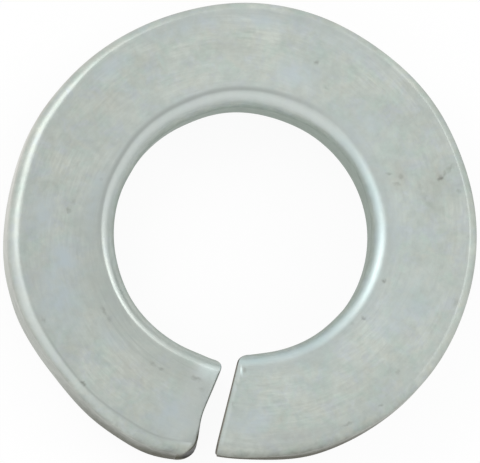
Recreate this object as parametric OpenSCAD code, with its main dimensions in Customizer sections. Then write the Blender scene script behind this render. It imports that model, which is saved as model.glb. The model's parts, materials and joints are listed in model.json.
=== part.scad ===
// Helical spring lock washer, zinc-plated steel.
// It is one turn of rolled wire, bent on edge round the bore and sheared off at both ends.
// Seen from above the coil climbs clockwise, which makes it a left-hand helix, so both ends
// dig in when a nut on a right-hand thread turns back.
// Sizes are in millimetres. The bore's axis is Z, the low end stands on z = 0, and the gap
// is near -Y.

/* [Wire] */
// Diameter of the bore, wall to wall
bore_d = 6.6; // [6.2:0.05:7.2]
// Width of the wire, from the bore's wall to the outer wall
wire_w = 2.75; // [2.2:0.05:3.4]
// Thickness of the wire beside the bore
wire_t = 1.57; // [1.2:0.01:2]
// How much thinner the wire is beside the outer wall, where bending on edge stretched it
keystone = 0.03; // [0:0.01:0.1]
// Radius of the wire's two edges along the outer wall
outer_edge_r = 0.22; // [0.1:0.01:0.4]
// Radius of the wire's two edges along the bore
bore_edge_r = 0.38; // [0.1:0.01:0.5]

/* [Coil] */
// Height that the coil climbs from its low end to its high end
rise = 1.6; // [1.2:0.05:2.2]
// Width of the gap between the two ends, round the middle of the wire
gap_w = 0.43; // [0.3:0.01:0.9]
// Direction of the gap's middle, counter-clockwise from +X
gap_angle = 260.6; // [200:0.1:340]

/* [Sheared ends] */
// Slant of the high end's cut, clockwise from a line through the axis
high_cut_slant = 7.5; // [0:0.5:12]
// Slant of the low end's cut, clockwise from a line through the axis
low_cut_slant = 10.5; // [0:0.5:14]
// Depth from the outer wall to where the low end's cut bends, at the end of the clean shear
tear_depth = 1.1; // [0.6:0.05:1.6]
// Slant of the low end's torn stretch, from that bend to the outer wall
tear_slant = -3; // [-6:0.5:6]
// Radius of the low end's outer corner, which the blade rolled over
rolled_corner_r = 0.42; // [0.2:0.01:0.6]
// Radius of the other three corners, seen from above
sharp_corner_r = 0.12; // [0.05:0.01:0.2]
// Radius of the fine edge round each cut face
cut_edge_r = 0.06; // [0.02:0.01:0.1]

/* [Hidden] */

// Facets: stations round the coil, and segments in each rounded edge and across each face
coil_steps = 96;
edge_steps = 4;
face_steps = 4;
cut_edge_steps = 2;
// Metal that the sweep leaves inside the bore, for the bore's own cylinder to take away
ream = 0.006;
// Height by which the bore's cylinder passes the washer at each end
bore_run = 1;
plating = [0.72, 0.76, 0.73];

bore_r = bore_d / 2;
outer_r = bore_r + wire_w;
mid_r = bore_r + wire_w / 2;
face_in_r = bore_r + bore_edge_r;
face_out_r = outer_r - outer_edge_r;
tear_r = outer_r - tear_depth;
free_h = wire_t + rise;

// The coil runs clockwise from the low end, round through +Y, to the high end
half_gap = degrees_of(gap_w / 2, mid_r);
low_angle = gap_angle - half_gap;
high_angle = gap_angle + half_gap - 360;

function degrees_of(arc, r) = arc / r * 180 / PI;

// Half the wire's thickness on its flat faces
function half_t(r) =
    wire_t / 2 - keystone / 2 * max(0, r - face_in_r) / (face_out_r - face_in_r);

// Upper half of the wire's section as [radius, height over the middle], bore to outer wall
bore_edge = [
    for (i = [0:edge_steps])
        let (turn = 90 * i / edge_steps, swing_r = bore_edge_r + ream)
        [face_in_r - swing_r * cos(turn), wire_t / 2 - swing_r * (1 - sin(turn))]
];
face = [
    for (i = [1:face_steps - 1])
        let (r = face_in_r + (face_out_r - face_in_r) * i / face_steps)
        [r, half_t(r)]
];
outer_edge = [
    for (i = [0:edge_steps])
        let (turn = 90 * i / edge_steps)
        [face_out_r + outer_edge_r * sin(turn),
         half_t(face_out_r) - outer_edge_r * (1 - cos(turn))]
];
half_section = concat(bore_edge, face, outer_edge);

// How far a corner of radius c draws the cut back, at a depth under its wall
function corner_back(depth, c) =
    let (in = min(c, max(0, c - depth)))
    c - sqrt(c * c - in * in);

// Each cut, seen from above, as arc lengths from the end's nominal angle, positive
// counter-clockwise. The slant turns the cut clockwise on its way out.
function low_cut(r) =
    - (min(r, tear_r) - mid_r) * tan(low_cut_slant)
    - max(0, r - tear_r) * tan(tear_slant)
    - corner_back(outer_r - r, rolled_corner_r)
    - corner_back(r - bore_r, sharp_corner_r);
function high_cut(r) =
    - (r - mid_r) * tan(high_cut_slant)
    + corner_back(outer_r - r, sharp_corner_r)
    + corner_back(r - bore_r, sharp_corner_r);

// Stations along the coil as [share of the way, arc length past it, inset of the section]
low_edge = [
    for (i = [0:cut_edge_steps - 1])
        let (turn = 90 * i / cut_edge_steps)
        [0, cut_edge_r * (1 - cos(turn)), cut_edge_r * (1 - sin(turn))]
];
coil = [
    for (i = [0:coil_steps])
        let (share = i / coil_steps)
        [share, cut_edge_r * (1 - 2 * share), 0]
];
high_edge = [
    for (i = [cut_edge_steps - 1:-1:0])
        let (turn = 90 * i / cut_edge_steps)
        [1, -cut_edge_r * (1 - cos(turn)), cut_edge_r * (1 - sin(turn))]
];
stations = concat(low_edge, coil, high_edge);

// One corner of the sweep: side is 1 on the upper half of the section and -1 on the lower
function coil_point(station, corner, side) =
    let (
        inset = station[2],
        r = mid_r + (corner[0] - mid_r) * (1 - 2 * inset / wire_w),
        h = corner[1] * (1 - 2 * inset / wire_t),
        from = low_angle + degrees_of(low_cut(corner[0]), r),
        to = high_angle + degrees_of(high_cut(corner[0]), r),
        angle = from + (to - from) * station[0] - degrees_of(station[1], r),
        climbed = (low_angle - angle) / (low_angle - high_angle),
        z = wire_t / 2 + rise * min(1, max(0, climbed)) + side * h
    )
    [r * cos(angle), r * sin(angle), z];

// The sweep's corners, station by station: out along the upper half, back along the lower
half_n = len(half_section);
ring_n = 2 * half_n;
last = len(stations) - 1;
function ring(station) = concat(
    [for (i = [0:half_n - 1]) coil_point(station, half_section[i], 1)],
    [for (i = [half_n - 1:-1:0]) coil_point(station, half_section[i], -1)]
);
corners = [for (station = stations) each ring(station)];

walls = [
    for (s = [0:last - 1], i = [0:ring_n - 1])
        let (
            a = s * ring_n + i,
            b = s * ring_n + (i + 1) % ring_n
        )
        each [[a, b, b + ring_n], [a, b + ring_n, a + ring_n]]
];
// A cut face is a row of upright strips, each from the upper half to the lower
function cut_face(first, flip) = [
    for (i = [0:half_n - 2])
        let (
            a = first + i,
            b = first + i + 1,
            c = first + ring_n - 2 - i,
            d = first + ring_n - 1 - i
        )
        each flip ? [[a, b, c], [a, c, d]] : [[a, c, b], [a, d, c]]
];

module swept_wire() {
    polyhedron(
        points = corners,
        faces = concat(walls, cut_face(0, false), cut_face(last * ring_n, true)),
        convexity = 6
    );
}

module spring_washer() {
    color(plating)
    difference() {
        swept_wire();
        translate([0, 0, -bore_run])
            cylinder(h = free_h + 2 * bore_run, r = bore_r, $fn = 4 * coil_steps);
    }
}

spring_washer();
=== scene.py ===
"""The looks of a zinc-plated spring lock washer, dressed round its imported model.

The wire's surface is swept again along the same coil with fine, soft edges, and the little
faults of a sheared and plated washer are worked into it. Lengths inside the script are in
millimetres and become metres where a mesh is made. Angles run counter-clockwise from +X,
seen from above.
"""

import json
import math
from types import SimpleNamespace

import bpy
import numpy as np
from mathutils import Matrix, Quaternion, Vector


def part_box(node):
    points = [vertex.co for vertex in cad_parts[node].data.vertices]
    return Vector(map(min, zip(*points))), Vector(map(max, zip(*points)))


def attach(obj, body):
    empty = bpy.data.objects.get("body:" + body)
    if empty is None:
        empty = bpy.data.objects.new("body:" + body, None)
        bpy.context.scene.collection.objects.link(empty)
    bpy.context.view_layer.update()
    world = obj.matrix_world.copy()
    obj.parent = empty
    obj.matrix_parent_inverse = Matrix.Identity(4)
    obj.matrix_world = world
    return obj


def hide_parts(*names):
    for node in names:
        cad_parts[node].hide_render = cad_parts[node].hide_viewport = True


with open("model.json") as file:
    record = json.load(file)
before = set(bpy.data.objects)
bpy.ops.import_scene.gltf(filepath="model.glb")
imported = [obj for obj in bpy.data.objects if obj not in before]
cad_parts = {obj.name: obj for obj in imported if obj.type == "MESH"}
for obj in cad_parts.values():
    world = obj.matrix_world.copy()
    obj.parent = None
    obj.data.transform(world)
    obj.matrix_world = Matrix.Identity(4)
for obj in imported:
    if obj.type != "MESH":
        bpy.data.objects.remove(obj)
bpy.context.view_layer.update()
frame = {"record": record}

MM = 0.001

# The washer's sizes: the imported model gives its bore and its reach, the rest is the wire's
washer_low, washer_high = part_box("spring_washer")
bore_mount = next(m for m in frame["record"]["mounts"] if m["name"] == "bore")
BORE_R = bore_mount["dims"]["r_mm"]
OUTER_R = round((washer_high.x - washer_low.x) / 2 / MM, 2)
WIRE_T = 1.57
RISE = 1.6
KEYSTONE = 0.03
WIRE_W = OUTER_R - BORE_R
MID_R = BORE_R + WIRE_W / 2

# The bore's edge changes round the washer: place in degrees, reach on each side, how round it is
BORE_EDGES = (
    (20, 0.35, 2.05),
    (75, 0.40, 1.45),
    (130, 0.41, 1.45),
    (170, 0.38, 1.45),
    (210, 0.36, 1.4),
    (245, 0.335, 1.5),
    (290, 0.38, 1.7),
    (350, 0.425, 2.05),
)
# The outer edge does too: place, reach across the face, reach down the wall, how round it is
OUTER_EDGES = (
    (35, 0.21, 0.20, 1.55),
    (100, 0.20, 0.21, 1.55),
    (125, 0.22, 0.22, 1.6),
    (150, 0.34, 0.30, 1.8),
    (178, 0.345, 0.28, 1.8),
    (192, 0.32, 0.28, 1.7),
    (220, 0.22, 0.24, 1.6),
    (240, 0.29, 0.24, 1.6),
    (285, 0.31, 0.24, 1.6),
    (320, 0.25, 0.22, 1.55),
)
# The flat face lies between these, taken all round
BORE_EDGE_REACH = 0.36
OUTER_EDGE_REACH = 0.26
FACE_IN = BORE_R + BORE_EDGE_REACH
FACE_OUT = OUTER_R - OUTER_EDGE_REACH
# The zinc stands on the steel by this much
PLATING = 0.01

# The gap and its two sheared ends, with slants in degrees, clockwise on the way out
GAP_W = 0.43
GAP_ANGLE = 260.6
HALF_GAP = math.degrees(GAP_W / 2 / MID_R)
LOW_ANGLE = GAP_ANGLE - HALF_GAP
HIGH_ANGLE = GAP_ANGLE + HALF_GAP - 360
HIGH_CUT_SLANT = 7.1
LOW_CUT_SLANT = 10.5
# The low end's cut bends where the clean shear ends and the metal tore
TEAR_DEPTH = 1.1
TEAR_SLANT = -3.0
TEAR_BLEND = 0.12
TORN_LIP = 0.14
TORN_LIP_FULL_FROM = 0.3
# The corners of both cuts, seen from above, and the fine edge round them
ROLLED_CORNER_R = 0.55
ROLLED_CORNER_LEAN = -0.10
LOW_BORE_CORNER_R = 0.24
HIGH_BORE_CORNER_R = 0.20
HIGH_OUTER_CORNER_R = 0.01
CUT_EDGE_R = 0.035
# The high end's cut leans out over the gap with height, and stands a little forward
HIGH_CUT_LEAN = 0.125
HIGH_CUT_FORWARD = 0.03

# How finely the wire is swept: the stations lie closer together beside the two cuts
CLOSE_STEP = 0.02
CLOSE_STRETCH = 1.6
LONG_STEP = 0.05
CUT_EDGE_STEPS = 4
EDGE_STEPS = 16
FACE_STEPS = 18
WALL_STEPS = 6

# Where the outer wall stands out or in: place, depth, and reach in degrees
WALL_WAVES = (
    (20, -0.03, 12),
    (54, -0.04, 14),
    (103, -0.015, 10),
    (115, -0.06, 22),
    (152, 0.035, 8),
    (188, 0.065, 12),
    (200, 0.02, 5),
    (218, -0.085, 11),
    (246, 0.045, 6),
    (257, -0.06, 5),
    (275, -0.035, 9),
    (320, 0.03, 14),
)
# Where the bore's wall stands back or in, in the same order
BORE_WAVES = (
    (25, 0.04, 40),
    (70, -0.015, 12),
    (95, 0.02, 16),
    (112, -0.015, 10),
    (150, -0.02, 8),
    (170, 0.02, 30),
    (212, 0.015, 12),
    (259, 0.06, 6),
    (268, 0.035, 6),
    (315, -0.012, 8),
)
# The low end curls in towards the bore, more at the outer wall than at the bore
CURL_REACH = 55
CURL_OUTER = 0.10
CURL_BORE = 0.06
# The high end's lower outer edge is tucked in, over a stretch in degrees
TUCK = 0.15
TUCK_REACH = 26
TUCK_TOP = 0.3
# The blade pressed the low end's outer corner down
ROLL_DROP = 0.10
ROLL_REACH = 0.30
# A burr stands beside the high end's cut, near the bore
BURR_R = 3.80
BURR_BACK = 0.12
BURR_HEIGHT = 0.012
BURR_THICKNESS = 0.035
BURR_LENGTH = 0.13

# How far from each cut the finish still knows that it is near
NEAR_CUT = 0.25
# How far the soft change reaches between the bore's side of the wire and the outer side
SIDE_BLEND = 0.3
# A soft oval has faded out where this many times its own size is reached
OVAL_FADE = 1.15

# Where the plating has a blue film: round, out, length, width, and how strong
BLUE_PATCHES = (
    (71, 4.4, 0.8, 0.5, 0.8),
    (41, 4.3, 0.7, 0.4, 0.6),
    (42, 3.85, 0.8, 0.25, 0.6),
    (-22, 4.8, 1.0, 0.8, 0.4),
    (-32, 4.45, 0.8, 0.7, 0.5),
    (-90, 5.1, 0.8, 0.6, 0.8),
    (-80, 5.6, 1.3, 0.25, 0.5),
    (250, 5.1, 0.8, 0.7, 1.0),
    (218, 4.4, 0.8, 0.3, 0.6),
    (199, 5.1, 1.3, 0.75, 1.0),
    (189, 4.7, 0.8, 0.6, 1.0),
    (175, 5.2, 0.8, 0.5, 0.8),
    (167, 3.95, 1.3, 0.25, 0.9),
    (129, 5.5, 0.9, 0.35, 0.7),
    (106, 5.6, 1.6, 0.3, 0.6),
    (84, 5.55, 1.3, 0.3, 0.8),
    (60, 5.6, 1.6, 0.3, 0.4),
    (2, 3.9, 1.3, 0.18, 0.5),
)
# Where it is grimy, in the same order
GRIMY_PATCHES = (
    (19, 4.25, 0.6, 0.4, 0.45),
    (15, 5.25, 0.5, 0.5, 0.6),
    (9, 5.0, 0.9, 0.4, 0.4),
    (93, 5.0, 1.0, 0.6, 0.3),
    (138, 4.7, 0.9, 0.5, 0.3),
    (230, 4.7, 0.8, 0.4, 0.35),
    (235, 4.2, 0.8, 0.3, 0.4),
    (194, 5.45, 0.8, 0.4, 0.3),
    (253, 3.95, 0.4, 0.25, 0.5),
    (-78, 5.6, 1.2, 0.3, 0.7),
)


def smooth(x, low, high):
    """0 below low, 1 above high, and an even S between them."""
    t = np.clip((x - low) / (high - low), 0, 1)
    return t * t * (3 - 2 * t)


def hump(off, reach):
    """A soft hump, 1 where off is 0 and near 0 beyond its reach."""
    return np.exp(-((off / reach) ** 2))


def eased(rows, angle):
    """Sizes at an angle, which pass softly from each known place to the next."""
    places = np.array([row[0] for row in rows] + [rows[0][0] + 360])
    sizes = np.array([row[1:] for row in rows + rows[:1]])
    turn = (angle - places[0]) % 360 + places[0]
    k = np.clip(np.searchsorted(places, turn, side="right") - 1, 0, len(rows) - 1)
    share = smooth(turn, places[k], places[k + 1])[:, None]
    return (sizes[k] + (sizes[k + 1] - sizes[k]) * share).T


# The wire's section


def upper_section(angle):
    """Upper half of the section at each angle, from the bore to the outer wall.

    Gives [radius, height over the wire's middle, how far the surface has turned down].
    """
    bore_reach, bore_round = eased(BORE_EDGES, angle)
    outer_reach, outer_depth, outer_round = eased(OUTER_EDGES, angle)
    half, thin = WIRE_T / 2, WIRE_T / 2 - KEYSTONE / 2
    face_in, face_out = BORE_R + bore_reach, OUTER_R - outer_reach
    points = []
    for k in range(WALL_STEPS):
        points.append((BORE_R, (half - bore_reach) * k / WALL_STEPS, 1))
    for k in range(EDGE_STEPS + 1):
        turn = math.pi / 2 * k / EDGE_STEPS
        across = bore_reach * max(0, math.cos(turn)) ** (2 / bore_round)
        down = bore_reach * (1 - math.sin(turn) ** (2 / bore_round))
        points.append((face_in - across, half - down, 1 - k / EDGE_STEPS))
    for k in range(1, FACE_STEPS):
        share = k / FACE_STEPS
        points.append((face_in + (face_out - face_in) * share, half + (thin - half) * share, 0))
    for k in range(EDGE_STEPS + 1):
        turn = math.pi / 2 * k / EDGE_STEPS
        across = outer_reach * math.sin(turn) ** (2 / outer_round)
        down = outer_depth * (1 - max(0, math.cos(turn)) ** (2 / outer_round))
        points.append((face_out + across, thin - down, k / EDGE_STEPS))
    for k in range(1, WALL_STEPS + 1):
        points.append((OUTER_R, (thin - outer_depth) * (1 - k / WALL_STEPS), 1))
    return np.array([np.broadcast_arrays(*point, angle)[:3] for point in points]).transpose(1, 2, 0)


def whole_section(angle):
    """The closed section: out along the upper half, back along the lower."""
    upper = upper_section(angle)
    lower = upper[:, :, -2:0:-1] * np.array([1, -1, 1])[:, None, None]
    return np.concatenate([upper, lower], axis=2)


# The coil


def degrees_of(arc, r):
    """Degrees that an arc of this length takes up at radius r."""
    return np.degrees(arc / r)


def corner_back(depth, c):
    """How far a corner of radius c draws the cut back, at a depth under its wall."""
    inside = np.clip(c - depth, 0, c)
    return c - np.sqrt(c * c - inside * inside)


def low_cut(r, h):
    """Arc length of the low end's cut from its nominal angle, counter-clockwise.

    Past its bend the cut is torn, and its lower edge stands forward as a lip.
    """
    clean, torn = math.tan(math.radians(LOW_CUT_SLANT)), math.tan(math.radians(TEAR_SLANT))
    past_bend = TEAR_BLEND * np.log1p(np.exp((r - OUTER_R + TEAR_DEPTH) / TEAR_BLEND))
    raised = h / WIRE_T + 0.5
    rolled_r = ROLLED_CORNER_R + ROLLED_CORNER_LEAN * raised
    lip = TORN_LIP * smooth(r, OUTER_R - TEAR_DEPTH, OUTER_R - TORN_LIP_FULL_FROM)
    return (
        -(r - MID_R) * clean
        + past_bend * (clean - torn)
        - corner_back(OUTER_R - r, rolled_r)
        - corner_back(r - BORE_R, LOW_BORE_CORNER_R)
        + lip * (1 - raised)
    )


def high_cut(r, h):
    """The same for the high end, whose metal lies on the other side of its cut."""
    return (
        -(r - MID_R) * math.tan(math.radians(HIGH_CUT_SLANT))
        + corner_back(OUTER_R - r, HIGH_OUTER_CORNER_R)
        + corner_back(r - BORE_R, HIGH_BORE_CORNER_R)
        + HIGH_CUT_LEAN * (WIRE_T / 2 - h)
        - HIGH_CUT_FORWARD
    )


def stations():
    """[share of the way, arc length past it, inset of the section] along the coil."""
    length = math.radians(LOW_ANGLE - HIGH_ANGLE) * MID_R
    close = np.arange(0, CLOSE_STRETCH, CLOSE_STEP) / length
    long_stretch = 1 - 2 * CLOSE_STRETCH / length
    steps = round(long_stretch * length / LONG_STEP)
    middle = CLOSE_STRETCH / length + long_stretch * np.arange(steps + 1) / steps
    shares = np.concatenate([close, middle, 1 - close[::-1]])
    rows = [(0.0, 0.0, 2 * CUT_EDGE_R)]
    for k in range(CUT_EDGE_STEPS):
        turn = math.pi / 2 * k / CUT_EDGE_STEPS
        back, inset = CUT_EDGE_R * (1 - math.cos(turn)), CUT_EDGE_R * (1 - math.sin(turn))
        rows.append((0.0, back, inset))
    ends = [(1.0, -back, inset) for share, back, inset in reversed(rows)]
    rows += [(share, CUT_EDGE_R * (1 - 2 * share), 0.0) for share in shares]
    return np.array(rows + ends)


def around_to(angle, place):
    """Degrees from a place to an angle, the short way round."""
    return (angle - place + 180) % 360 - 180


def waves(humps, angle):
    """How far a list of humps moves a wall out, at each angle."""
    return sum(depth * hump(around_to(angle, place), reach) for place, depth, reach in humps)


def patches(ovals, angle, r):
    """The strongest of a list of soft ovals on the face, 0 to 1."""
    total = 0
    for place, out, length, width, strong in ovals:
        off = np.hypot(np.radians(around_to(angle, place)) * out / length, (r - out) / width)
        total = np.maximum(total, strong * (1 - smooth(off, 0, OVAL_FADE)))
    return total


def with_faults(r, h, angle, from_low, from_high):
    """Where rolling, bending and shearing left a point, out from the axis and up the wire."""
    outside = smooth(r, FACE_IN + SIDE_BLEND, FACE_OUT)
    upper = smooth(h, 0, WIRE_T / 4)
    shift = (PLATING + waves(WALL_WAVES, angle)) * outside
    shift += (waves(BORE_WAVES, angle) - PLATING) * (1 - outside)
    curl = np.clip(1 - (LOW_ANGLE - angle) / CURL_REACH, 0, 1) ** 2
    tuck = TUCK * smooth(-(angle - HIGH_ANGLE), -TUCK_REACH, 0)
    tuck = tuck * smooth(-h, -WIRE_T / 2, TUCK_TOP)
    inward = curl * (CURL_BORE + (CURL_OUTER - CURL_BORE) * outside) + tuck * outside
    roll = hump(np.hypot(from_low, OUTER_R - r), ROLL_REACH) * upper
    burr = hump(from_high - BURR_BACK, BURR_THICKNESS) * hump(r - BURR_R, BURR_LENGTH) * upper
    return r + shift - inward, h - ROLL_DROP * roll + BURR_HEIGHT * burr


def sweep():
    """The sweep's points and what the finish needs to know of them, one row a station."""
    along = stations()
    share, past, inset = (along[:, k : k + 1] for k in range(3))
    nominal = LOW_ANGLE + (HIGH_ANGLE - LOW_ANGLE) * share[:, 0]
    r0, h0, turned = whole_section(nominal)
    face_in = BORE_R + eased(BORE_EDGES, nominal)[0][:, None]
    face_out = OUTER_R - eased(OUTER_EDGES, nominal)[0][:, None]
    r = MID_R + (r0 - MID_R) * (1 - 2 * inset / WIRE_W)
    h = h0 * (1 - 2 * inset / WIRE_T)
    start = LOW_ANGLE + degrees_of(low_cut(r0[:1], h0[:1]), r)
    end = HIGH_ANGLE + degrees_of(high_cut(r0[-1:], h0[-1:]), r)
    angle = start + (end - start) * share - degrees_of(past, r)
    from_low = np.radians(start - angle) * r
    from_high = np.radians(angle - end) * r
    climbed = np.clip((LOW_ANGLE - angle) / (LOW_ANGLE - HIGH_ANGLE), 0, 1)
    middle = WIRE_T / 2 + RISE * climbed
    new_r, new_h = with_faults(r, h, angle, from_low, from_high)
    a = np.radians(angle)
    points = np.stack([new_r * np.cos(a), new_r * np.sin(a), middle + new_h], axis=-1)
    marks = {
        "wall": turned,
        "from_bore_edge": r0 - face_in,
        "from_outer_edge": face_out - r0,
        "outer_side": smooth(r, MID_R - SIDE_BLEND, MID_R + SIDE_BLEND),
        "up": h / (WIRE_T / 2),
        "low_cut_edge": np.clip(1 - from_low / NEAR_CUT, 0, 1),
        "high_cut_edge": np.clip(1 - from_high / NEAR_CUT, 0, 1),
        "blue_patches": patches(BLUE_PATCHES, angle, r),
        "grimy_patches": patches(GRIMY_PATCHES, angle, r),
    }
    return points, marks


def cut_face(ring, flip):
    """A cut face as a row of upright strips, each from the wire's upper half to the lower."""
    strips = []
    for i in range(len(ring) // 2):
        corners = [ring[i], ring[-i], ring[-i - 1], ring[i + 1]]
        corners = [c for k, c in enumerate(corners) if c not in corners[:k]]
        if len(corners) > 2:
            strips.append(corners[::-1] if flip else corners)
    return strips


def washer_mesh():
    """The wire's surface. The cut faces, and the strip next to each, take the second material."""
    points, marks = sweep()
    rings, around = points.shape[:2]
    ids = np.arange(rings * around).reshape(rings, around)
    a0, b0 = ids[:-1, :], np.roll(ids, -1, axis=1)[:-1, :]
    a1, b1 = ids[1:, :], np.roll(ids, -1, axis=1)[1:, :]
    faces = np.stack([a0, b0, b1, a1], axis=-1).reshape(-1, 4).tolist()
    cuts = cut_face(ids[0].tolist(), False) + cut_face(ids[-1].tolist(), True)
    mesh = bpy.data.meshes.new("spring_washer_surface")
    mesh.from_pydata((points.reshape(-1, 3) * MM).tolist(), [], faces + cuts)
    mesh.validate()
    first_ring, last_ring = around, len(faces) - around
    for poly in mesh.polygons:
        poly.use_smooth = True
        on_cut = poly.index < first_ring or poly.index >= last_ring
        poly.material_index = 1 if on_cut else 0
    for name, values in marks.items():
        layer = mesh.attributes.new(name, "FLOAT", "POINT")
        layer.data.foreach_set("value", values.astype(np.float32).ravel())
    return mesh


# Shader helpers


def node(tree, kind, **settings):
    """Adds a node with its settings."""
    made = tree.nodes.new(kind)
    for name, value in settings.items():
        setattr(made, name, value)
    return made


def feed(tree, socket, value):
    """Links a socket to another, or sets it to a plain value."""
    if isinstance(value, bpy.types.NodeSocket):
        tree.links.new(value, socket)
    else:
        socket.default_value = value


def reckon(tree, operation, a, b=None, c=None, clamp=False):
    """One step of arithmetic on plain values or sockets."""
    made = node(tree, "ShaderNodeMath", operation=operation, use_clamp=clamp)
    for socket, value in zip(made.inputs, (a, b, c)):
        if value is not None:
            feed(tree, socket, value)
    return made.outputs[0]


def product(tree, *factors):
    """All the factors multiplied."""
    total = factors[0]
    for factor in factors[1:]:
        total = reckon(tree, "MULTIPLY", total, factor)
    return total


def ramp(tree, value, low, high, low_gives=0.0, high_gives=1.0):
    """An even S from one value to another as the input goes from low to high."""
    made = node(tree, "ShaderNodeMapRange", interpolation_type="SMOOTHSTEP")
    for socket, given in zip(made.inputs, (value, low, high, low_gives, high_gives)):
        feed(tree, socket, given)
    return made.outputs[0]


def bell(tree, value, place, reach):
    """1 where the value is at its place, down to 0 at its reach on either side."""
    off = reckon(tree, "ABSOLUTE", reckon(tree, "SUBTRACT", value, place))
    return ramp(tree, off, 0, reach, 1, 0)


def changed(tree, value, share, change):
    """A value that a share from 0 to 1 takes up or down by a given change."""
    return reckon(tree, "MULTIPLY_ADD", share, change, value)


def swinging(tree, middle, grain, strength):
    """Swings about a middle value as the grain swings about a half."""
    return changed(tree, middle, reckon(tree, "SUBTRACT", grain, 0.5), strength)


# A colour mix keeps its sockets for the share, the colours and the result at these places
MIX_SHARE, MIX_BELOW, MIX_ABOVE, MIX_RESULT = 0, 6, 7, 2


def tint(tree, share, below, above, kind="MIX"):
    """Lays one colour over another, as thickly as the share says."""
    made = node(tree, "ShaderNodeMix", data_type="RGBA", blend_type=kind)
    for place, given in ((MIX_SHARE, share), (MIX_BELOW, below), (MIX_ABOVE, above)):
        feed(tree, made.inputs[place], given)
    return made.outputs[MIX_RESULT]


def noise(tree, where, scale, detail=2.0, rough=0.5, warp=0.0):
    """Soft noise at a place."""
    made = node(tree, "ShaderNodeTexNoise")
    feed(tree, made.inputs["Vector"], where)
    settings = {"Scale": scale, "Detail": detail, "Roughness": rough, "Distortion": warp}
    for name, value in settings.items():
        made.inputs[name].default_value = value
    return made


def triple(tree, x, y, z):
    """Three values as one place or one colour."""
    made = node(tree, "ShaderNodeCombineXYZ")
    for socket, value in zip(made.inputs, (x, y, z)):
        feed(tree, socket, value)
    return made.outputs[0]


def darkened(tree, colour, level, share=1.0):
    """The colour times a grey level, as far as the share says."""
    return tint(tree, share, colour, triple(tree, level, level, level), "MULTIPLY")


def marked(tree, name):
    """One of the sweep's own marks, which the mesh carries at each point."""
    return node(tree, "ShaderNodeAttribute", attribute_name=name).outputs["Fac"]


def on_screen(red, green, blue):
    """A colour written as it looks on a screen, 0 to 255, as linear light."""
    out = []
    for c in (red, green, blue):
        c /= 255
        out.append(c / 12.92 if c <= 0.04045 else ((c + 0.055) / 1.055) ** 2.4)
    return (*out, 1.0)


def effect(name, takes, gives):
    """An empty node group with its named inputs and outputs."""
    group = bpy.data.node_groups.new(name, "ShaderNodeTree")
    for label, kind in takes.items():
        group.interface.new_socket(label, in_out="INPUT", socket_type=kind)
    for label in gives:
        group.interface.new_socket(label, in_out="OUTPUT", socket_type="NodeSocketFloat")
    given = node(group, "NodeGroupInput") if takes else None
    return group, given, node(group, "NodeGroupOutput")


def use(tree, group, **values):
    """Places an effect in a material and gives its outputs."""
    made = node(tree, "ShaderNodeGroup", node_tree=group)
    for name, value in values.items():
        feed(tree, made.inputs[name], value)
    return made.outputs


# Effects, each built once as a node group


def place_on_coil():
    """Where a point is: degrees round the coil, millimetres out from the axis and up."""
    group, _, out = effect("place_on_coil", {}, ("Round", "Out", "Height"))
    here = node(group, "ShaderNodeTexCoord").outputs["Object"]
    spun = node(group, "ShaderNodeVectorRotate", rotation_type="Z_AXIS")
    feed(group, spun.inputs["Vector"], here)
    spun.inputs["Angle"].default_value = math.radians(180 - GAP_ANGLE)
    parts = node(group, "ShaderNodeSeparateXYZ")
    group.links.new(spun.outputs[0], parts.inputs[0])
    x, y, z = parts.outputs
    turn = reckon(group, "DEGREES", reckon(group, "ARCTAN2", y, x))
    squares = reckon(group, "ADD", reckon(group, "MULTIPLY", x, x), reckon(group, "MULTIPLY", y, y))
    feed(group, out.inputs["Round"], reckon(group, "ADD", turn, GAP_ANGLE - 180))
    feed(group, out.inputs["Out"], reckon(group, "DIVIDE", reckon(group, "SQRT", squares), MM))
    feed(group, out.inputs["Height"], reckon(group, "DIVIDE", z, MM))
    return group


def plating_mottle():
    """The cloudy look of zinc: clouds, three blooms of colour, curds, ragged patches and pits."""
    takes = {"Size": "NodeSocketFloat"}
    gives = ("Clouds", "Lilac", "Straw", "Teal", "Curds", "Patchy", "Pits")
    group, given, out = effect("plating_mottle", takes, gives)
    here = node(group, "ShaderNodeTexCoord").outputs["Object"]
    scaled = node(group, "ShaderNodeVectorMath", operation="SCALE")
    feed(group, scaled.inputs[0], here)
    feed(group, scaled.inputs["Scale"], reckon(group, "DIVIDE", 1 / MM, given.outputs["Size"]))
    where = scaled.outputs[0]
    clouds = noise(group, where, scale=0.55, detail=3.0, rough=0.55, warp=0.4)
    feed(group, out.inputs["Clouds"], clouds.outputs["Fac"])
    blooms = node(group, "ShaderNodeSeparateColor")
    tufts = noise(group, where, scale=2.0, detail=4.0, rough=0.68, warp=0.4)
    feed(group, blooms.inputs[0], tufts.outputs["Color"])
    for name, bloom in zip(("Lilac", "Straw", "Teal"), blooms.outputs):
        feed(group, out.inputs[name], ramp(group, bloom, 0.46, 0.68))
    curds = noise(group, where, scale=4.5, detail=4.0, rough=0.62, warp=0.3)
    feed(group, out.inputs["Curds"], curds.outputs["Fac"])
    ragged = noise(group, where, scale=2.2, detail=3.0, rough=0.6, warp=0.3).outputs["Fac"]
    feed(group, out.inputs["Patchy"], ramp(group, ragged, 0.36, 0.62, 0.4, 1.0))
    pits = node(group, "ShaderNodeTexVoronoi", feature="F1")
    feed(group, pits.inputs["Vector"], where)
    pits.inputs["Scale"].default_value = 1.3
    feed(group, out.inputs["Pits"], ramp(group, pits.outputs["Distance"], 0.03, 0.09, 1, 0))
    return group


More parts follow.
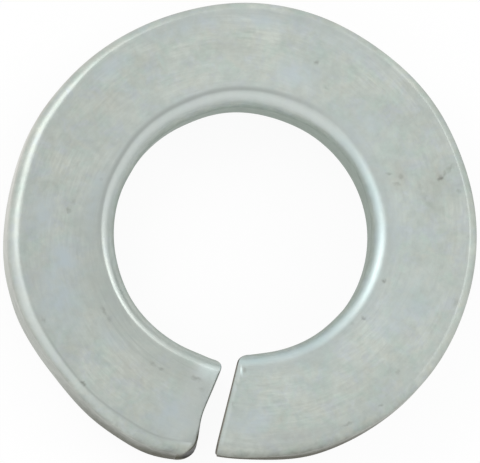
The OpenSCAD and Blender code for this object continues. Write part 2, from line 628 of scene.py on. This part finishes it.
def draw_streaks():
    """Fine lines and broader scores that rolling drew along the wire."""
    takes = {"Round": "NodeSocketFloat", "Out": "NodeSocketFloat", "Height": "NodeSocketFloat"}
    group, given, out = effect("draw_streaks", takes, ("Lines", "Scores"))
    arc = reckon(group, "MULTIPLY", given.outputs["Round"], math.radians(1) * MID_R)
    across = reckon(group, "ADD", given.outputs["Out"], given.outputs["Height"])

    def drawn_out(along, over, layer):
        """A place stretched along the wire."""
        lengthwise = reckon(group, "MULTIPLY", arc, along)
        return triple(group, lengthwise, reckon(group, "MULTIPLY", across, over), layer)

    lines = noise(group, drawn_out(1.7, 12, 0.0), scale=1.0, detail=3.0, rough=0.6)
    feed(group, out.inputs["Lines"], lines.outputs["Fac"])
    scores = noise(group, drawn_out(0.5, 7, 3.0), scale=1.0, detail=2.0, rough=0.5)
    feed(group, out.inputs["Scores"], ramp(group, scores.outputs["Fac"], 0.56, 0.72))
    return group


def spot():
    """One mark, as an oval of its own size that may lie askew to the coil."""
    takes = {name: "NodeSocketVector" for name in ("Where", "Middle", "Turn", "Size")}
    group, given, out = effect("spot", takes, ("Mask",))
    oval = node(group, "ShaderNodeMapping", vector_type="TEXTURE")
    sockets = {"Vector": "Where", "Location": "Middle", "Rotation": "Turn", "Scale": "Size"}
    for socket, name in sockets.items():
        group.links.new(given.outputs[name], oval.inputs[socket])
    far = node(group, "ShaderNodeVectorMath", operation="LENGTH")
    group.links.new(oval.outputs[0], far.inputs[0])
    feed(group, out.inputs["Mask"], ramp(group, far.outputs["Value"], 0.0, OVAL_FADE, 1, 0))
    return group


# The finishes, and the painted light and shade, with their colours as they look on a screen

ZINC_PALE = on_screen(191, 197, 190)
ZINC_DEEP = on_screen(181, 189, 183)
LILAC_BLOOM = on_screen(182, 189, 196)
STRAW_BLOOM = on_screen(190, 192, 181)
TEAL_BLOOM = on_screen(176, 192, 184)
BLUE_PATCH = on_screen(183, 194, 198)
GRIME = on_screen(168, 169, 161)
# Tints for the bore's edge, brighter than the zinc: the blue one is partly a real film and partly
# painted highlight, the pale one is painted highlight
BLUE_FILM = on_screen(196, 215, 219)
PALE_EDGE_SHEEN = on_screen(206, 213, 211)
EDGE_SHADE = on_screen(171, 178, 177)
INNER_RUB = on_screen(166, 173, 168)
# Painted shade: the bore's wall and the outer wall darker than the face
BORE_WALL_SHADE = on_screen(145, 157, 148)
OUTER_WALL_SHADE = on_screen(178, 181, 174)
# Painted light on the outer wall at the left
LIT_WALL = on_screen(214, 214, 208)
# Painted shade, olive dark, low on the outer wall and at the wire's tips
RIM_SHADE_OLIVE = on_screen(66, 65, 48)
# Darker along the very edge of each cut
CUT_EDGE_DARK = on_screen(104, 100, 92)
# Painted shade at the low end's torn outer corner
TORN_CORNER_SHADE = on_screen(34, 34, 31)
GROOVE_DARK = on_screen(108, 110, 103)
GROOVE_PALE = on_screen(158, 162, 154)
# Painted shade on the low end's cut face by its outer corner, darker low down
CORNER_SHADE_LOW = on_screen(88, 86, 71)
CORNER_SHADE_HIGH = on_screen(150, 150, 139)
SPECK = on_screen(122, 124, 118)
# Painted shade in the shallow crease beside each edge
CREASE_SHADE = on_screen(150, 156, 152)
# A bright tone: painted light on the low end's tip and beside the high cut, and paler zinc on the
# outer edge at the lower left
BRIGHT_TONE = on_screen(214, 221, 219)
# Painted highlight for the spots that glint, which are also smoother
GLINT = on_screen(222, 238, 236)

# The blooms of colour in the zinc, and how strong each is
BLOOMS = {"Lilac": (LILAC_BLOOM, 0.5), "Straw": (STRAW_BLOOM, 0.4), "Teal": (TEAL_BLOOM, 0.5)}
# Painted shade: the face is a little darker on the left and by the high end: round, reach and loss
SHADED_SIDES = ((176, 80, 0.06), (-80, 60, 0.03))
# Two long scores on the low side: how far out, and how wide
LONG_SCORES = ((4.14, 0.06), (4.0, 0.04))
# How strong the painted olive shade is low on the outer wall, and all over the wire's tips
WALL_SHADE_SHARE = 0.78
TIP_SHADE_SHARE = 0.36
# How rough the finish is, and how deep its fine relief is in millimetres
SATIN_ROUGHNESS = 0.34
SHEARED_ROUGHNESS = 0.38
PLATING_RELIEF = 0.0025
SHEARED_RELIEF = 0.012

# Marks on the upper face: round, out, length, width, askew, and how dark
MARKS = (
    # The speck near the top, and a comma-shaped one on the right
    (66.5, 4.83, 0.09, 0.08, 0, 0.5),
    (15, 5.3, 0.13, 0.09, -60, 0.85),
    (16, 5.43, 0.11, 0.07, -50, 0.4),
    (17, 5.6, 0.17, 0.08, -55, 0.38),
    (10.5, 5.67, 0.08, 0.07, 0, 0.35),
    # A smudge by the bore on the right, and the curved scuff beside it
    (21.5, 4.05, 0.13, 0.06, 70, 0.4),
    (19, 4.3, 0.12, 0.08, 0, 0.35),
    (17, 4.15, 0.13, 0.08, 70, 0.35),
    (14, 4.7, 0.2, 0.1, 0, 0.22),
    (11, 4.73, 0.2, 0.1, 20, 0.2),
    (8, 4.87, 0.2, 0.1, 35, 0.2),
    # Faint ones at the top and down the left
    (60, 4.35, 0.10, 0.07, 0, 0.25),
    (173, 4.57, 0.11, 0.08, 30, 0.42),
    (170, 4.47, 0.12, 0.08, 0, 0.25),
    (204, 5.67, 0.12, 0.08, 0, 0.38),
    (223.5, 5.74, 0.13, 0.07, 0, 0.65),
    # Beads of dirt along the scored line on the low side
    (209.5, 4.15, 0.18, 0.06, 0, 0.38),
    (213, 4.13, 0.10, 0.06, 0, 0.3),
    (235.5, 4.13, 0.10, 0.06, 0, 0.3),
    (239, 4.12, 0.10, 0.06, 0, 0.4),
    (252.5, 3.95, 0.19, 0.08, 0, 0.36),
    (255.5, 4.18, 0.14, 0.08, 0, 0.2),
    # Beside the bore and on the high side
    (-38, 3.83, 0.09, 0.07, 0, 0.5),
    (-21, 3.82, 0.09, 0.07, 0, 0.55),
    (-44, 5.41, 0.11, 0.07, 0, 0.28),
    (-19.5, 5.76, 0.16, 0.09, 0, 0.25),
    (-53.5, 5.77, 0.10, 0.07, 0, 0.45),
    (-63.5, 5.75, 0.26, 0.05, 0, 0.42),
    (-91.5, 3.78, 0.08, 0.06, 0, 0.35),
    (-95.5, 4.66, 0.07, 0.12, 10, 0.4),
    (-94.5, 4.11, 0.06, 0.10, 10, 0.35),
)
# Painted highlights, in the same order: the low end's inner corner, and the burr on the high end
GLINT_SPOTS = (
    (257, 3.68, 0.42, 0.34, 8, 0.6),
    (-93.0, BURR_R, 0.04, 0.19, 8, 1.0),
)


def in_millimetres(tree, ragged):
    """The place on the washer in millimetres, shaken so that marks have ragged outlines."""
    here = node(tree, "ShaderNodeTexCoord").outputs["Object"]
    scaled = node(tree, "ShaderNodeVectorMath", operation="SCALE")
    feed(tree, scaled.inputs[0], here)
    scaled.inputs["Scale"].default_value = 1 / MM
    shake = noise(tree, scaled.outputs[0], scale=9.0)
    moved = node(tree, "ShaderNodeVectorMath", operation="MULTIPLY_ADD")
    tree.links.new(shake.outputs["Color"], moved.inputs[0])
    moved.inputs[1].default_value = (ragged, ragged, 0)
    tree.links.new(scaled.outputs[0], moved.inputs[2])
    back = node(tree, "ShaderNodeVectorMath", operation="SUBTRACT")
    tree.links.new(moved.outputs[0], back.inputs[0])
    back.inputs[1].default_value = (ragged / 2, ragged / 2, 0)
    return back.outputs[0]


def strongest(tree, one_spot, where, marks):
    """The strongest of a list of marks at each point."""
    tall = 1000
    total = 0.0
    for turn, out, length, width, askew, depth in marks:
        a = math.radians(turn)
        given = use(
            tree,
            one_spot,
            Where=where,
            Middle=(out * math.cos(a), out * math.sin(a), 0),
            Turn=(0, 0, a + math.pi / 2 + math.radians(askew)),
            Size=(length, width, tall),
        )
        total = reckon(tree, "MAXIMUM", total, reckon(tree, "MULTIPLY", given["Mask"], depth))
    return total


def new_material(name):
    """A material, its node tree and its shader."""
    mat = bpy.data.materials.new(name)
    mat.use_nodes = True
    return mat, mat.node_tree, mat.node_tree.nodes["Principled BSDF"]


def relief(tree, height, depth):
    """Fine relief, as deep in millimetres as given where the height changes by 1."""
    bump = node(tree, "ShaderNodeBump")
    bump.inputs["Distance"].default_value = depth * MM
    feed(tree, bump.inputs["Height"], height)
    return bump.outputs[0]


def wire_surface(tree, place, mottle, streaks):
    """What the plating asks of each point: its place on the coil and the wire, and its grain."""
    where = use(tree, place)
    wall, outer, up = marked(tree, "wall"), marked(tree, "outer_side"), marked(tree, "up")
    face, upper = ramp(tree, wall, 0.0, 0.35, 1, 0), ramp(tree, up, 0, 0.5)
    return SimpleNamespace(
        turn=where["Round"],
        out=where["Out"],
        zinc=use(tree, mottle, Size=1.0),
        drawn=use(tree, streaks, Round=where["Round"], Out=where["Out"], Height=where["Height"]),
        wall=wall,
        outer=outer,
        inner=reckon(tree, "SUBTRACT", 1.0, outer),
        up=up,
        upper=upper,
        face=face,
        top=product(tree, face, upper),
        from_bore_edge=marked(tree, "from_bore_edge"),
        from_outer_edge=marked(tree, "from_outer_edge"),
        low_cut_edge=marked(tree, "low_cut_edge"),
        high_cut_edge=marked(tree, "high_cut_edge"),
    )


# The layers of the plating, from the zinc up to the dirt, with painted light and shade among them


def clouded_zinc(tree, wire):
    """The zinc itself, with its clouds, blooms, curds and drawn lines."""
    zinc = wire.zinc
    colour = tint(tree, ramp(tree, zinc["Clouds"], 0.35, 0.65), ZINC_DEEP, ZINC_PALE)
    for bloom, (tone, share) in BLOOMS.items():
        colour = tint(tree, reckon(tree, "MULTIPLY", zinc[bloom], share), colour, tone)
    curdled = changed(tree, 0.82, zinc["Curds"], 0.34)
    line_strength = ramp(tree, zinc["Clouds"], 0.38, 0.66, 0.08, 0.45)
    lined = swinging(tree, 1.0, wire.drawn["Lines"], line_strength)
    return darkened(tree, colour, product(tree, curdled, lined))


def film_grime_and_side_shade(tree, wire, colour):
    """Broad patches of blue film and of grime, and painted shade that darkens two sides of the face.
    """
    for patch, tone in (("blue_patches", BLUE_PATCH), ("grimy_patches", GRIME)):
        share = product(tree, marked(tree, patch), wire.zinc["Patchy"], wire.top)
        colour = tint(tree, share, colour, tone)
    # Painted shade on two sides of the face
    level = 1.0
    for place, reach, loss in SHADED_SIDES:
        level = changed(tree, level, bell(tree, wire.turn, place, reach), -loss)
    return darkened(tree, colour, level)


def rub_beside_bore(tree, wire, colour):
    """Rubs and scores the face beside the bore, and gives the scores as well."""
    beside_bore = ramp(tree, wire.out, FACE_IN + 0.1, FACE_IN + 1.05, 1, 0)
    rub = product(tree, beside_bore, bell(tree, wire.turn, 208, 70), wire.face)
    colour = tint(tree, reckon(tree, "MULTIPLY", rub, 0.7), colour, INNER_RUB)
    short_scores = product(tree, wire.drawn["Scores"], ramp(tree, rub, 0.1, 0.6, 0.12, 0.5), wire.face)
    first, second = (bell(tree, wire.out, out, width) for out, width in LONG_SCORES)
    long_scores = reckon(tree, "MAXIMUM", first, second)
    broken = ramp(tree, wire.drawn["Lines"], 0.35, 0.65, 0.2, 0.75)
    long_scores = product(tree, long_scores, bell(tree, wire.turn, 218, 45), broken, wire.top)
    scored = reckon(tree, "MAXIMUM", short_scores, long_scores)
    return tint(tree, scored, colour, INNER_RUB), scored


def shade_towards_edges(tree, wire, colour):
    """The face is a little darker towards each edge."""
    toward_bore = ramp(tree, wire.from_bore_edge, 0.0, 0.4, 1, 0)
    toward_bore = product(tree, toward_bore, ramp(tree, wire.turn, 165, 190, 0.5, 0))
    toward_rim = ramp(tree, wire.from_outer_edge, 0.0, 0.35, 1, 0)
    toward_rim = product(tree, toward_rim, changed(tree, 0.25, bell(tree, wire.turn, 88, 40), 0.25))
    share = product(tree, reckon(tree, "ADD", toward_bore, toward_rim), wire.face)
    return tint(tree, share, colour, EDGE_SHADE)


def crease_shade_beside_edges(tree, wire, colour):
    """Paints shade as a line in the shallow crease round the face beside each edge, and gives the
    lines as well.
    """
    ragged = reckon(tree, "MULTIPLY_ADD", wire.zinc["Curds"], 1.2, 0.2, clamp=True)
    bore_line = bell(tree, wire.from_bore_edge, 0.035, 0.11)
    bore_line = product(tree, bore_line, ramp(tree, wire.turn, 40, 85))
    bore_line = product(tree, bore_line, ramp(tree, wire.turn, 150, 200, 0.85, 0.15))
    rim_line = bell(tree, wire.from_outer_edge, 0.02, 0.05)
    rim_line = product(tree, rim_line, ramp(tree, wire.turn, 185, 225, 0, 0.6), ragged)
    lines = product(tree, reckon(tree, "MAXIMUM", bore_line, rim_line), wire.face)
    return tint(tree, reckon(tree, "MULTIPLY", lines, 0.8), colour, CREASE_SHADE), lines


def tint_and_brighten_bore_edge(tree, wire, colour):
    """Lays a tint on the bore's edge, blue on the right, paler on the left: partly a real blue film,
    partly a painted highlight that brightens the edge. Gives the edge.
    """
    bore_edge = product(tree, bell(tree, wire.wall, 0.35, 0.45), wire.inner, wire.upper)
    edge_tint_share = ramp(tree, wire.turn, 30, 60, 0.5, 0.7)
    edge_tint_share = product(tree, edge_tint_share, ramp(tree, wire.turn, 160, 190, 1, 0.6))
    tone = tint(tree, ramp(tree, wire.turn, 20, 60), BLUE_FILM, PALE_EDGE_SHEEN)
    return tint(tree, product(tree, bore_edge, edge_tint_share), colour, tone), bore_edge


def pale_bevel_tip_and_glints(tree, wire, one_spot, colour):
    """Makes the outer edge paler on the lower left, paints light on the low end's face by its tip, and
    paints highlights as bright spots. Gives the spots as well.
    """
    pale_bevel = product(tree, ramp(tree, wire.wall, 0.0, 0.25), ramp(tree, wire.wall, 0.35, 0.9, 1, 0))
    pale_bevel = product(tree, pale_bevel, wire.outer, wire.upper, bell(tree, wire.turn, 203, 42), 0.55)
    colour = tint(tree, pale_bevel, colour, BRIGHT_TONE)
    # Painted light on the low end's face by its tip
    lit_low_tip = product(tree, ramp(tree, wire.turn, 246, 258), wire.face, 0.6)
    colour = tint(tree, lit_low_tip, colour, BRIGHT_TONE)
    where = in_millimetres(tree, ragged=0.04)
    glints = product(tree, strongest(tree, one_spot, where, GLINT_SPOTS), wire.upper)
    return tint(tree, reckon(tree, "MULTIPLY", glints, 0.8), colour, GLINT), glints


def speck_the_face(tree, wire, one_spot, colour):
    """Adds the marks and the zinc's small pits, and gives them as well."""
    where = in_millimetres(tree, ragged=0.16)
    marks = product(tree, strongest(tree, one_spot, where, MARKS), wire.top)
    pits = product(tree, wire.zinc["Pits"], ramp(tree, wire.zinc["Clouds"], 0.5, 0.6), 0.15)
    specks = reckon(tree, "MAXIMUM", marks, pits)
    return tint(tree, specks, colour, SPECK), specks


def shade_the_walls(tree, wire, colour):
    """Paints shade on the walls, which are darker than the face, with more grain, and paints light on
    the outer one at the left.
    """
    on_wall = ramp(tree, wire.wall, 0.5, 1.0)
    bore_wall = product(tree, on_wall, wire.inner)
    outer_wall = product(tree, on_wall, wire.outer)
    colour = tint(tree, reckon(tree, "MULTIPLY", bore_wall, 0.95), colour, BORE_WALL_SHADE)
    colour = tint(tree, reckon(tree, "MULTIPLY", outer_wall, 0.8), colour, OUTER_WALL_SHADE)
    # Painted light on the outer wall at the left
    lit_left_wall = product(tree, outer_wall, bell(tree, wire.turn, 156, 52))
    colour = tint(tree, lit_left_wall, colour, LIT_WALL)
    curdled = changed(tree, 0.83, wire.zinc["Curds"], 0.34)
    lined = swinging(tree, 1.0, wire.drawn["Lines"], 0.5)
    return darkened(tree, colour, product(tree, curdled, lined), ramp(tree, wire.wall, 0.4, 1.0))


def olive_rim_shade(tree, wire):
    """How strong the painted olive shade is: low on the outer wall near the ends, and all over the
    tips.
    """
    turn, curds = wire.turn, wire.zinc["Curds"]
    uneven = swinging(tree, wire.up, curds, 0.3)
    uneven = swinging(tree, uneven, wire.drawn["Lines"], 0.5)
    low_down = ramp(tree, uneven, -0.4, 1.05, 1, 0)
    ends = reckon(tree, "MAXIMUM", ramp(tree, turn, 212, 238), ramp(tree, turn, -68, -32, 1, 0))
    tips = reckon(tree, "MAXIMUM", ramp(tree, turn, 240, 252), ramp(tree, turn, -88, -30, 1, 0))
    painted_rim_shade = product(tree, low_down, ends, ramp(tree, wire.wall, 0, 0.3), WALL_SHADE_SHARE)
    tip_shade = product(tree, ramp(tree, wire.wall, 0, 0.9), tips, TIP_SHADE_SHARE)
    painted_rim_shade = reckon(tree, "ADD", painted_rim_shade, tip_shade, clamp=True)
    painted_rim_shade = product(tree, painted_rim_shade, wire.outer, ramp(tree, turn, 252, 257, 1, 0.7))
    return product(tree, painted_rim_shade, ramp(tree, curds, 0.3, 0.7, 1.05, 0.9))


def shade_at_torn_corner(tree, wire):
    """How strong the painted shade is on the torn metal round the low end's outer corner, most along
    its very edge.
    """
    near_cut, turn = wire.low_cut_edge, wire.turn
    far_out = ramp(tree, wire.out, OUTER_R - 0.75, OUTER_R - 0.45)
    broken_up = ramp(tree, wire.zinc["Curds"], 0.4, 0.6, 0.3, 0.9)
    torn = product(tree, ramp(tree, near_cut, 0.3, 0.85), far_out)
    torn = product(tree, torn, ramp(tree, turn, 254.0, 256.3), broken_up)
    further_in = ramp(tree, wire.out, OUTER_R - 0.95, OUTER_R - 0.6)
    edge = product(tree, ramp(tree, near_cut, 0.62, 0.9), further_in)
    edge = product(tree, edge, ramp(tree, turn, 254.5, 256.5))
    return reckon(tree, "MAXIMUM", torn, edge)


def darken_the_cut_edges(tree, wire, colour):
    """Darker along the very edge of each cut, and a painted highlight as a pale band beside the high
    one.
    """
    low_lip = reckon(tree, "MULTIPLY", ramp(tree, wire.low_cut_edge, 0.84, 0.97), 0.6)
    high_lip = ramp(tree, wire.high_cut_edge, 0.78, 0.92)
    colour = tint(tree, reckon(tree, "MAXIMUM", low_lip, high_lip), colour, CUT_EDGE_DARK)
    high_edge_sheen = product(tree, bell(tree, wire.high_cut_edge, 0.55, 0.3), wire.face, 0.25)
    return tint(tree, high_edge_sheen, colour, BRIGHT_TONE)


def satin_roughness(tree, wire, painted_rim_shade, specks, glints, bore_edge):
    """Satin all over, which each share makes rougher, or smoother with a change below 0."""
    dull_rim = product(tree, ramp(tree, wire.wall, 0, 0.3), wire.outer, bell(tree, wire.turn, 15, 65))
    roughened = (
        (wire.zinc["Clouds"], 0.10),
        (wire.zinc["Curds"], 0.06),
        (ramp(tree, wire.wall, 0.4, 1.0), 0.10),
        (painted_rim_shade, 0.12),
        (specks, 0.2),
        (glints, -0.12),
        (product(tree, bore_edge, bell(tree, wire.turn, 207, 42)), -0.14),
        (product(tree, bore_edge, bell(tree, wire.turn, 8, 28)), 0.10),
        (dull_rim, 0.28),
    )
    rough = SATIN_ROUGHNESS
    for share, change in roughened:
        rough = changed(tree, rough, share, change)
    return rough


def zinc_plating(place, mottle, streaks, one_spot):
    """The satin zinc on the faces, edges and walls, with its wear and dirt, and with painted shade and
    painted highlights.
    """
    mat, tree, shader = new_material("zinc_plating")
    wire = wire_surface(tree, place, mottle, streaks)
    colour = film_grime_and_side_shade(tree, wire, clouded_zinc(tree, wire))
    colour, scored = rub_beside_bore(tree, wire, colour)
    colour = shade_towards_edges(tree, wire, colour)
    colour, lines = crease_shade_beside_edges(tree, wire, colour)
    colour, bore_edge = tint_and_brighten_bore_edge(tree, wire, colour)
    colour, glints = pale_bevel_tip_and_glints(tree, wire, one_spot, colour)
    colour, specks = speck_the_face(tree, wire, one_spot, colour)
    colour = shade_the_walls(tree, wire, colour)
    # Painted shade low on the outer wall, at the tips and at the low end's torn corner; it also makes
    # the metal less metallic and rougher
    painted_rim_shade = reckon(tree, "MAXIMUM", olive_rim_shade(tree, wire), shade_at_torn_corner(tree, wire))
    colour = darken_the_cut_edges(tree, wire, tint(tree, painted_rim_shade, colour, RIM_SHADE_OLIVE))
    feed(tree, shader.inputs["Base Color"], colour)
    feed(tree, shader.inputs["Metallic"], changed(tree, 1.0, painted_rim_shade, -0.7))
    rough = satin_roughness(tree, wire, painted_rim_shade, specks, glints, bore_edge)
    feed(tree, shader.inputs["Roughness"], rough)
    height = wire.zinc["Curds"]
    for share, change in ((wire.drawn["Lines"], 0.6), (scored, -1.2), (lines, -1.6)):
        height = changed(tree, height, share, change)
    feed(tree, shader.inputs["Normal"], relief(tree, height, PLATING_RELIEF))
    return mat


def shade_on_torn_face(tree, where, low_end):
    """Painted shade on the torn metal low on the low end's cut face, by its outer corner."""
    torn = product(tree, ramp(tree, where["Out"], OUTER_R - 1.3, OUTER_R - 0.7), low_end)
    round_corner = ramp(tree, where["Round"], 254.2, 256.6)
    lowered = changed(tree, where["Height"], ramp(tree, where["Round"], 255.3, 257.3), -1.3)
    return product(tree, torn, ramp(tree, lowered, 0.35, 1.35, 1, 0), round_corner)


def sheared_zinc(place, mottle):
    """The two cut faces: zinc over the upright grooves that the blade left, with painted shade at the
    low end's outer corner.
    """
    mat, tree, shader = new_material("sheared_zinc")
    where = use(tree, place)
    zinc = use(tree, mottle, Size=0.5)
    across = reckon(tree, "MULTIPLY", where["Out"], 16)
    upright = reckon(tree, "MULTIPLY", where["Height"], 1.3)
    down = triple(tree, across, upright, 0.0)
    grooves = noise(tree, down, scale=1.0, detail=4.0, rough=0.6).outputs["Fac"]
    low_end = ramp(tree, where["Height"], WIRE_T, WIRE_T + 0.03, 1, 0)
    torn = shade_on_torn_face(tree, where, low_end)
    colour = tint(tree, grooves, GROOVE_DARK, GROOVE_PALE)
    colour = tint(tree, reckon(tree, "MULTIPLY", zinc["Lilac"], 0.3), colour, LILAC_BLOOM)
    # Painted shade on the low end's cut face by its outer corner
    at_corner = product(tree, ramp(tree, where["Out"], OUTER_R - 0.9, OUTER_R - 0.4), low_end, 0.85)
    corner_shade = tint(tree, ramp(tree, where["Height"], 0.3, 1.4), CORNER_SHADE_LOW, CORNER_SHADE_HIGH)
    colour = tint(tree, at_corner, colour, corner_shade)
    feed(tree, shader.inputs["Base Color"], tint(tree, torn, colour, TORN_CORNER_SHADE))
    feed(tree, shader.inputs["Metallic"], changed(tree, 1.0, torn, -0.6))
    feed(tree, shader.inputs["Roughness"], changed(tree, SHEARED_ROUGHNESS, grooves, 0.25))
    height = changed(tree, grooves, reckon(tree, "MULTIPLY", torn, zinc["Curds"]), 2.0)
    feed(tree, shader.inputs["Normal"], relief(tree, height, SHEARED_RELIEF))
    return mat


# The table, the light and the camera

TABLE_GREY = 0.86
TABLE_WHITENESS = 0.92
TABLE_REACH = 0.6
# How bright the white tent is overhead and at its sides, and between which slopes that changes
TENT_OVERHEAD = 0.84
TENT_SIDES = 1.03
SIDES_UP_TO = 0.78
OVERHEAD_FROM = 0.97
# The softboxes stand this far away, which is in metres like their sizes
SOFTBOX_DISTANCE = 0.5


def pale_table():
    """A matt, pale grey that the camera and the metal see as near white."""
    mat = bpy.data.materials.new("pale_table")
    mat.use_nodes = True
    tree = mat.node_tree
    tree.nodes.clear()
    out = node(tree, "ShaderNodeOutputMaterial")
    matt = node(tree, "ShaderNodeBsdfDiffuse")
    matt.inputs["Color"].default_value = (TABLE_GREY, TABLE_GREY, TABLE_GREY, 1)
    glow = node(tree, "ShaderNodeEmission")
    rays = node(tree, "ShaderNodeLightPath")
    seen = reckon(tree, "MAXIMUM", rays.outputs["Is Camera Ray"], rays.outputs["Is Glossy Ray"])
    seen = reckon(tree, "MAXIMUM", seen, rays.outputs["Is Transmission Ray"])
    mix = node(tree, "ShaderNodeMixShader")
    feed(tree, mix.inputs[0], reckon(tree, "MULTIPLY", seen, TABLE_WHITENESS))
    tree.links.new(matt.outputs[0], mix.inputs[1])
    tree.links.new(glow.outputs[0], mix.inputs[2])
    tree.links.new(mix.outputs[0], out.inputs[0])
    return mat


def table_top():
    """The plain floor that the washer rests on."""
    mesh = bpy.data.meshes.new("table_top")
    corners = [(-1, -1, 0), (1, -1, 0), (1, 1, 0), (-1, 1, 0)]
    mesh.from_pydata([Vector(c) * TABLE_REACH for c in corners], [], [(0, 1, 2, 3)])
    mesh.materials.append(pale_table())
    top = bpy.data.objects.new("table_top", mesh)
    bpy.context.scene.collection.objects.link(top)


def room_light():
    """A white tent, a little brighter at its sides, that the camera sees as white paper."""
    world = bpy.data.worlds.new("white_tent")
    world.use_nodes = True
    bpy.context.scene.world = world
    tree = world.node_tree
    back = tree.nodes["Background"]
    rays = node(tree, "ShaderNodeLightPath")
    way = node(tree, "ShaderNodeSeparateXYZ")
    tree.links.new(node(tree, "ShaderNodeTexCoord").outputs["Generated"], way.inputs[0])
    level = ramp(tree, way.outputs["Z"], SIDES_UP_TO, OVERHEAD_FROM, TENT_SIDES, TENT_OVERHEAD)
    strength = reckon(tree, "MAXIMUM", rays.outputs["Is Camera Ray"], level)
    back.inputs["Color"].default_value = (1, 1, 1, 1)
    feed(tree, back.inputs["Strength"], strength)


def softbox(name, toward, from_zenith, size, power):
    """A square lamp that faces the washer from two angles in degrees, at a power in watts."""
    lamp = bpy.data.lights.new(name, "AREA")
    lamp.shape = "SQUARE"
    lamp.size = size
    lamp.energy = power
    holder = bpy.data.objects.new(name, lamp)
    a, z = math.radians(toward), math.radians(from_zenith)
    way = Vector((math.sin(z) * math.cos(a), math.sin(z) * math.sin(a), math.cos(z)))
    holder.location = way * SOFTBOX_DISTANCE
    holder.rotation_mode = "QUATERNION"
    holder.rotation_quaternion = way.to_track_quat("Z", "Y")
    bpy.context.scene.collection.objects.link(holder)


# The camera looks down on the washer from the lower left of the picture, with angles in degrees
PICTURE_W, PICTURE_H = 480, 463
PIXELS_PER_MM = 38.61
SENSOR_W = 36.0
CAMERA_DISTANCE = 300.0
CAMERA_TILT = 11.4
AXIS_LEANS_TOWARD = 54.0
WASHER_PIXEL = (244.2, 230.4)
AIM_HEIGHT = WIRE_T + RISE / 2
# The lens sees what lies between these, in metres
CLIP_NEAR, CLIP_FAR = 0.01, 2.0


def camera():
    """A long lens, far off, that frames the washer as the picture does."""
    lens = bpy.data.cameras.new("camera")
    lens.sensor_width = SENSOR_W
    lens.lens = SENSOR_W * CAMERA_DISTANCE * PIXELS_PER_MM / PICTURE_W
    lens.clip_start, lens.clip_end = CLIP_NEAR, CLIP_FAR
    holder = bpy.data.objects.new("camera", lens)
    toward = math.radians(AXIS_LEANS_TOWARD)
    lean = Quaternion((-math.sin(toward), math.cos(toward), 0), -math.radians(CAMERA_TILT))
    right, up, back = (lean @ Vector(axis) for axis in ((1, 0, 0), (0, 1, 0), (0, 0, 1)))
    aside = (WASHER_PIXEL[0] - PICTURE_W / 2) / PIXELS_PER_MM
    below = (PICTURE_H / 2 - WASHER_PIXEL[1]) / PIXELS_PER_MM
    aim = Vector((0, 0, AIM_HEIGHT)) - right * aside - up * below
    holder.rotation_mode = "QUATERNION"
    holder.rotation_quaternion = lean
    holder.location = (aim + back * CAMERA_DISTANCE) * MM
    bpy.context.scene.collection.objects.link(holder)
    bpy.context.scene.camera = holder


def dress_washer():
    """Puts the plated surface in place of the plain solid."""
    mesh = washer_mesh()
    place, mottle = place_on_coil(), plating_mottle()
    mesh.materials.append(zinc_plating(place, mottle, draw_streaks(), spot()))
    mesh.materials.append(sheared_zinc(place, mottle))
    washer = bpy.data.objects.new("plated_spring_washer", mesh)
    bpy.context.scene.collection.objects.link(washer)
    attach(washer, "root")
    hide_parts("spring_washer")


camera()
table_top()
room_light()
softbox("left_softbox", toward=145, from_zenith=43, size=0.28, power=0.53)
softbox("right_softbox", toward=24, from_zenith=50, size=0.24, power=0.32)
dress_washer()
bpy.context.scene.view_settings.view_transform = "Standard"
